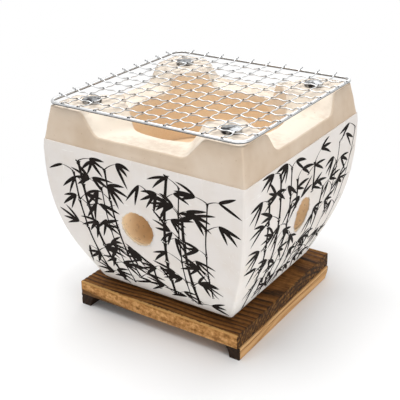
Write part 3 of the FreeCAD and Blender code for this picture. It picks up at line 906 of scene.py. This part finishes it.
def tube(path, across, radius, sides, closed):
    """Round section carried along a path: rings of points around it, in its normal and binormal.

    The path is an array of points, and across is the direction that stays square to it all along.
    """
    ahead = np.roll(path, -1, 0) - np.roll(path, 1, 0)
    if not closed:
        ahead[0] = path[1] - path[0]
        ahead[-1] = path[-1] - path[-2]
    ahead /= np.linalg.norm(ahead, axis=1, keepdims=True)
    normal = np.cross(ahead, across)
    spin = np.linspace(0, 2 * np.pi, sides + 1)[:-1]
    cosine, sinus = np.cos(spin)[None, :, None], np.sin(spin)[None, :, None]
    ring = normal[:, None] * cosine + np.array(across)[None, None] * sinus
    return path[:, None] + radius * ring


def set_darkening(piece, wear):
    """Keeps the darkening of each point on a mesh, painted shade and dark spots, for the steel finish."""
    mark = piece.data.attributes.new("wear", "FLOAT", "POINT")
    mark.data.foreach_set("value", wear.astype(np.float32).ravel())


print("wire: a round section on a path, with wear kept on its points")

# %% Frame wire
frame_low, frame_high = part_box("net_frame")
FRAME_RADIUS = (frame_high.z - frame_low.z) / 2
FRAME_HALF = frame_high.x - FRAME_RADIUS
NET_Z = (frame_high.z + frame_low.z) / 2
FRAME_CORNER = 0.007
FRAME_SIDES = 16
FRAME_SHADE = (0.42, 0.85)
BEND_STEPS = 14

corners = [(-1, -1), (1, -1), (1, 1), (-1, 1)]
outline = filleted(np.array(corners) * FRAME_HALF, [FRAME_CORNER] * 4, BEND_STEPS)
starts_run = np.arange(len(outline)) % BEND_STEPS == BEND_STEPS - 1
run_stops = np.linspace(0, 1, BEND_STEPS + 1)[:-1]
stops = np.concatenate([run_stops if run else [0.0] for run in starts_run])
repeats = np.where(starts_run, BEND_STEPS, 1)
run_from = np.repeat(outline, repeats, axis=0)
run_to = np.repeat(np.roll(outline, -1, 0), repeats, axis=0)
loop = run_from + (run_to - run_from) * stops[:, None]
loop = np.column_stack([loop, np.full(len(loop), NET_Z)])
rings = tube(loop, (0.0, 0.0, 1.0), FRAME_RADIUS, FRAME_SIDES, True)
quads = grid_quads(len(loop), FRAME_SIDES, closed=True, looped=True)
net_frame = add_mesh("net_frame_wire", rings, quads[:, ::-1].tolist())
# Painted shade: the frame's colour is darkened on its lower and inner side, by how far each side faces
# down.
lift = np.sin(np.linspace(0, 2 * np.pi, FRAME_SIDES + 1)[:-1])
shade = np.broadcast_to(np.clip(FRAME_SHADE[0] - lift, 0, FRAME_SHADE[1]), rings.shape[:2])
set_darkening(net_frame, shade)
dress(net_frame, "net", "net_steel", steel.material, "net_frame")

# %% Weave
wire_low, wire_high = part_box("net_cross_wire_1")
WIRE_RADIUS = (wire_high.y - wire_low.y) / 2
WIRES = 10
PITCH = 2 * FRAME_HALF / (WIRES + 1)
WIRE_SIDES = 8
CROSSING_GAP = 0.0001
CRIMP = WIRE_RADIUS + CROSSING_GAP / 2
WELD_GAP = 0.00004
END_HEIGHT = FRAME_RADIUS + WELD_GAP + WIRE_RADIUS
END_OVERHANG = wire_high.x - FRAME_HALF
CRESTS_PER_PITCH = 3
SPOT_REACH = 0.0011
CUT_REACH = 0.0011
UNDER_SHADE = (0.35, 0.8)


def woven_path(above):
    """(along, height) of one wire, which passes its first crossing above (1) or below (-1).

    With a the distance in half turns per pitch, the crimps are (2 cos 3a + cos a) / 3: full crests on
    the crossings and half ones at the thirds between them. Close to the frame the wire eases up, and
    its ends lie over the frame.
    """
    reach = FRAME_HALF + END_OVERHANG
    along = np.linspace(-reach, reach, 301)
    a = np.pi * (along + FRAME_HALF) / PITCH
    crimp = -above * CRIMP * (2 * np.cos(CRESTS_PER_PITCH * a) + np.cos(a)) / 3
    climb = PITCH / CRESTS_PER_PITCH
    outward = np.clip((np.abs(along) - FRAME_HALF + climb) / (climb - FRAME_RADIUS), 0, 1)
    ease = outward ** 2 * (3 - 2 * outward)
    return np.stack([along, crimp + ease * (END_HEIGHT - crimp)], 1)


def wire_darkening(path, lift):
    """Darkening of a wire: spots on the crests at the crossings and at the cut ends, and painted shade on
    its lower side.

    Rows follow the path, columns go round the wire; lift is the upward part of each column's direction.
    """
    along, height = path.T
    to_crossing = np.abs((along / PITCH) % 1 - 0.5) * PITCH
    on_mesh = np.abs(along) < FRAME_HALF - PITCH / 2
    crest = np.exp(-(to_crossing / SPOT_REACH) ** 2) * (height > 0) * on_mesh
    to_end = along.max() - np.abs(along)
    cut_end = np.exp(-(to_end / CUT_REACH) ** 4)
    under = np.clip(UNDER_SHADE[0] - lift, 0, 1) * UNDER_SHADE[1]
    return np.maximum(np.maximum(crest, cut_end)[:, None], under[None])


print("weave:", WIRES, "wires each way,", round(PITCH * 1000, 2), "mm apart")

# %% Mesh wires


def mesh_wire(node, above, crosswise):
    """One woven wire, in place of its CAD node."""
    flat = woven_path(above)
    low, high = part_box(node)
    place = (low + high) / 2
    still = np.full(len(flat), place.y if crosswise else place.x)
    level = [flat[:, 0], still] if crosswise else [still, flat[:, 0]]
    path = np.column_stack([*level, NET_Z + flat[:, 1]])
    across = (0.0, 1.0, 0.0) if crosswise else (1.0, 0.0, 0.0)
    rings = tube(path, across, WIRE_RADIUS, WIRE_SIDES, False)
    piece = add_mesh(node.replace("net", "woven"), rings, capped(len(path), WIRE_SIDES, flipped=True))
    lift = np.cos(np.linspace(0, 2 * np.pi, WIRE_SIDES + 1)[:-1]) * (1 if crosswise else -1)
    set_darkening(piece, wire_darkening(flat, lift))
    dress(piece, "net", "net_steel", steel.material, node)


for number in range(WIRES):
    sign = (-1) ** number
    mesh_wire("net_cross_wire_%d" % (number + 1), sign, True)
    mesh_wire("net_long_wire_%d" % (number + 1), -sign, False)

# %% [markdown]
# ## Grain
# The stand is a softwood, scorched and then brushed, so the hard dark rings stand up and the soft wood
# between them is worn away. Tree rings are tubes about the pith. Their distance from the pith, in ring
# widths, is one formula of x, y and z: on the top it draws lines, on the end grain arcs. We use it twice,
# as a relief in the mesh and as colour in the finish.

# %% Grain formula
RING_WIDTH = 0.0033
PITH_Y, PITH_Z = 0.012, -0.045
TURN = 2 * np.pi


def ring_count(x, y, z):
    """Rings from the pith: distance from an axis along x, over the ring width.

    Slow sine waves make the axis wander sideways and up, and two more make the rings uneven across y.
    """
    off_y = y - PITH_Y - 0.0025 * sine(x * 31.0 + 0.6) - 0.0012 * sine(x * 74.0 + 2.0)
    off_z = z - PITH_Z - 0.0020 * sine(x * 23.0 + 1.9)
    uneven = 0.40 * sine(y * 83.0 + 0.4) + 0.15 * sine(y * 190.0 + 1.1)
    return root(off_y * off_y + off_z * off_z) / RING_WIDTH + uneven


def grain_fields(finish, along_y):
    """Late wood, fine streaks, broad streaks and pores of a piece whose grain runs along x or along y."""
    x, y, z = finish.place.parts()
    along, across = (y, x) if along_y else (x, y)

    def streaks(scale, stretch):
        drawn_out = (1.0, stretch, 1.0) if along_y else (stretch, 1.0, 1.0)
        return finish.place.stretched(*drawn_out).noise(scale, 4.0, 0.62)

    smear, broad, pores = streaks(900.0, 0.05), streaks(230.0, 0.04), streaks(2200.0, 0.12)
    phase = (ring_count(along, across, z) + (broad - 0.5) * 0.5) * TURN
    late = (sine(phase) * 0.5 + 0.5) ** 2.5
    return late, smear, broad, pores


print("wood: rings", RING_WIDTH * 1000, "mm apart")

# %% [markdown]
# ## Scorched wood
# Fire leaves each face of the stand its own tone. The top of the board is dark, its long edges are tan,
# with a singed corner low at the left, and its sawn ends took the most heat. The battens are pale outside,
# and their ends and inner sides are almost black. Masks by place choose the tone, and the same grain runs
# through all of them.

# %% Board finish
board_low, board_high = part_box("stand_board")
TAN = (srgb(220, 172, 112), srgb(182, 130, 74), srgb(118, 76, 36))
TOP = (srgb(156, 104, 48), srgb(106, 66, 25), srgb(42, 24, 6))
SAWN = (srgb(160, 112, 52), srgb(80, 50, 18), srgb(28, 16, 4))
WORN_AND_HIGHLIGHT = srgb(206, 160, 98)
TONE_STOPS = (0.1, 0.45, 0.85)
SINGED_SLOPE, SINGED_SPAN = 0.09, (0.0032, 0.0048)
WORN_AND_HIGHLIGHT_SPAN = (0.0007, 0.0015)
BRUSHED_DEPTH = 0.00022

board_finish = Finish("board_wood", specular_ior_level=0.18)
x, y, z = board_finish.place.parts()
late, smear, broad, pores = grain_fields(board_finish, False)
mottle = board_finish.place.noise(420.0, 4.0)
tone = late * 0.45 + (smear - 0.5) * 0.9 + (broad - 0.5) * 0.7 + (mottle - 0.5) * 0.45 + 0.32
edge_tone = late * 0.2 + (smear - 0.5) * 0.5 + (mottle - 0.5) * 1.5 + 0.38
end_tone = late * 0.3 + (smear - 0.5) * 0.5 + (mottle - 0.5) * 1.5 + 0.46
tones = ((edge_tone, TAN), (tone, TOP), (end_tone, SAWN))
edge, upper, sawn = (shade.ramp(*zip(TONE_STOPS, colors)) for shade, colors in tones)
on_top = z.close_to(board_high.z, 0.0010, 0.0006)
on_end = abs(x).close_to(board_high.x, 0.0008, 0.0003)
from_edge = board_high.y - abs(y) + (board_high.z - z)
from_corner = z - board_low.z + (x - board_low.x) * SINGED_SLOPE
singed = (1.0 - (from_corner + (mottle - 0.5) * 0.004).step(*SINGED_SPAN)) * 0.9
# Wear and painted highlight: the top long edges are painted lighter along the rounded arris.
worn_and_lit_edge = (1.0 - (from_edge - (mottle + broad - 1.0) * 0.0022).step(*WORN_AND_HIGHLIGHT_SPAN)) * 0.8
bare_edge = singed.blend(edge, SAWN[1])
wood_color = worn_and_lit_edge.blend(on_end.blend(on_top.blend(bare_edge, upper), sawn), WORN_AND_HIGHLIGHT)
brushed = smear * 0.6 + pores * 0.4 - late * 0.3
board_finish.feed(brushed, BRUSHED_DEPTH, base_color=wood_color, roughness=0.55 + smear * 0.3)
print("board: tan edges, dark top, darker ends")

# %% Batten finish
batten_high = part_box("batten_right")[1]
PALE = (srgb(226, 184, 132), srgb(202, 154, 100), srgb(156, 108, 62))
CHAR = (srgb(52, 33, 17), srgb(36, 22, 11), srgb(20, 12, 6))
PLANED_DEPTH = 0.0002

batten_finish = Finish("batten_wood", specular_ior_level=0.2)
x, y, z = batten_finish.place.parts()
late, smear, broad, pores = grain_fields(batten_finish, True)
tone = late * 0.28 + (smear - 0.5) * 0.8 + (broad - 0.5) * 0.45 + 0.30
side, tip = (tone.ramp(*zip(TONE_STOPS, colors)) for colors in (PALE, CHAR))
on_tip = abs(y).close_to(batten_high.y, 0.0010, 0.0004)
off_face = 1.0 - abs(x).close_to(batten_high.x, 0.0006, 0.0002)
under_top = 1.0 - z.close_to(batten_high.z, 0.0006, 0.0002)
burnt = on_tip | (off_face * under_top)
planed = smear * 0.6 + pores * 0.4 - late * 0.3
batten_finish.feed(planed, PLANED_DEPTH, base_color=burnt.blend(side, tip), roughness=0.55 + smear * 0.3)
print("battens: pale outer sides, dark ends and grooves")

# %% [markdown]
# ## Board
# The board is one profile carried along x, the way the grain runs. The profile is a rectangle with
# softened edges, dense along its top, where the brushed relief follows the rings. At both ends the
# profile shrinks a little to round the sawn edges.

# %% Board
RELIEF = 0.00018
END_ROUND = 0.0007
EASE = 0.0008

board_mid = (board_low + board_high) / 2
half_y = (board_high.y - board_low.y) / 2
half_z = (board_high.z - board_low.z) / 2
top_y = np.linspace(half_y - EASE, -half_y + EASE, 240)
low_y = -top_y[::6]
rounding = np.linspace(0, np.pi / 2, 6)[1:-1]
corner_y, corner_z = EASE * np.cos(rounding), EASE * np.sin(rounding)
ring_y = np.concatenate([low_y, half_y - EASE + corner_y[::-1], [half_y], half_y - EASE + corner_y, top_y,
                         -half_y + EASE - corner_y[::-1], [-half_y], -half_y + EASE - corner_y])
ring_z = np.concatenate([np.full(len(low_y), -half_z), -half_z + EASE - corner_z[::-1], [0.0],
                         half_z - EASE + corner_z, np.full(len(top_y), half_z),
                         half_z - EASE + corner_z[::-1], [0.0], -half_z + EASE - corner_z])
end_turn = np.linspace(0, np.pi / 2, 5)
inset = END_ROUND * (1 - np.sin(end_turn))
ends = END_ROUND * (1 - np.cos(end_turn))
span = np.linspace(board_low.x + END_ROUND, board_high.x - END_ROUND, 90)[1:-1]
stations = np.concatenate([board_low.x + ends, span, board_high.x - ends[::-1]])
shrink = np.concatenate([inset, np.zeros(len(span)), inset[::-1]])
board_y = board_mid.y + ring_y[None] * (1 - shrink[:, None] / half_y)
board_z = board_mid.z + ring_z[None] * (1 - shrink[:, None] / half_z)
board_x = np.broadcast_to(stations[:, None], board_y.shape)
relief = np.sin(ring_count(board_x, board_y, board_z) * TURN)
on_top = np.clip((ring_z - half_z * 0.8) / (half_z * 0.2), 0, 1)[None]
board_z = board_z + RELIEF * (relief - 1) * on_top
board_points = np.stack([board_x, board_y, board_z], axis=-1)
board = add_mesh("scorched_board", board_points, capped(len(stations), len(ring_y)))
board.data.set_sharp_from_angle(angle=np.radians(50))
dress(board, "stand", "board_wood", board_finish.material, "stand_board")

# %% [markdown]
# ## Battens
# Under the board lie two battens, which keep it off the table. Each is a moulding: a hollow on the inner
# side and a bead groove on the outer one. The same outline is carried along y. Its rear lower corner is
# cut away, so where a line along the batten ends depends on its height.

# %% Battens
HEEL = 0.0045
BATTEN_FOOT = 0.0075
HOLLOW = (0.0006, 0.45)
GROOVE, GROOVE_DEPTH = (0.0022, 0.0031), 0.0008
BATTEN_ROUNDS = (0.0005, 0.0006, 0.0001, 0, 0.0001, 0.0003, 0.0003, 0.006)


def batten(name, hand):
    """Moulded batten: an outline of (x, z) carried along y, cut away at the rear below the heel."""
    low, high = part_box(name)
    outer = max(abs(low.x), abs(high.x))
    inner = min(abs(low.x), abs(high.x))
    top = high.z
    foot = outer - BATTEN_FOOT
    groove_top, groove_low = (top - depth for depth in GROOVE)
    groove = (outer - GROOVE_DEPTH, (groove_low + groove_top) / 2)
    corners = [(foot, 0.0), (outer, 0.0), (outer, groove_low), groove,
               (outer, groove_top), (outer, top), (inner, top), (foot - HOLLOW[0], top * HOLLOW[1])]
    outline = filleted(corners, BATTEN_ROUNDS, 6)
    rear = high.y - np.maximum(HEEL - outline[:, 1], 0)
    share = np.linspace(0, 1, 30)[:, None]
    y = low.y + (rear[None] - low.y) * share
    x = np.broadcast_to(outline[:, 0] * hand, y.shape)
    z = np.broadcast_to(outline[:, 1], y.shape)
    faces = capped(len(share), len(outline), flipped=hand > 0)
    piece = add_mesh(name.replace("batten", "moulded_batten"), np.stack([x, y, z], -1), faces)
    piece.data.set_sharp_from_angle(angle=np.radians(40))
    dress(piece, "stand", "batten_wood", batten_finish.material, name)


batten("batten_right", 1)
batten("batten_left", -1)

# %% [markdown]
# ## Grate and nails
# The charcoal lies on a pierced clay disc inside the firebox, and four nails hold the battens. Their CAD
# shapes are right as they are, so they only get a finish: coarse fired clay, and plain dull steel.

# %% Grate and nails
GRATE_RELIEF = 0.0003

grate = Finish("grate_clay", roughness=0.9, specular_ior_level=0.2)
coarse = grate.place.noise(320.0, 5.0)
lumps = grate.place.noise(60.0, 3.0)
fired = (coarse * 0.6 + lumps * 0.4).ramp((0.35, RAW_DARK), (0.62, RAW))
grate.feed(coarse, GRATE_RELIEF, base_color=fired)
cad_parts["charcoal_grate"].material_slots[0].material = grate.material

NAIL_BRIGHT = srgb(150, 150, 152)
NAIL_DULL = srgb(104, 100, 96)
nail = Finish("nail_steel", metallic=1.0)
rub = nail.place.noise(700.0, 4.0)
nail.feed(base_color=rub.step(0.4, 0.7).blend(NAIL_BRIGHT, NAIL_DULL), roughness=0.35 + rub * 0.3)
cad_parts["batten_nails"].material_slots[0].material = nail.material
print("grate and nails finished")
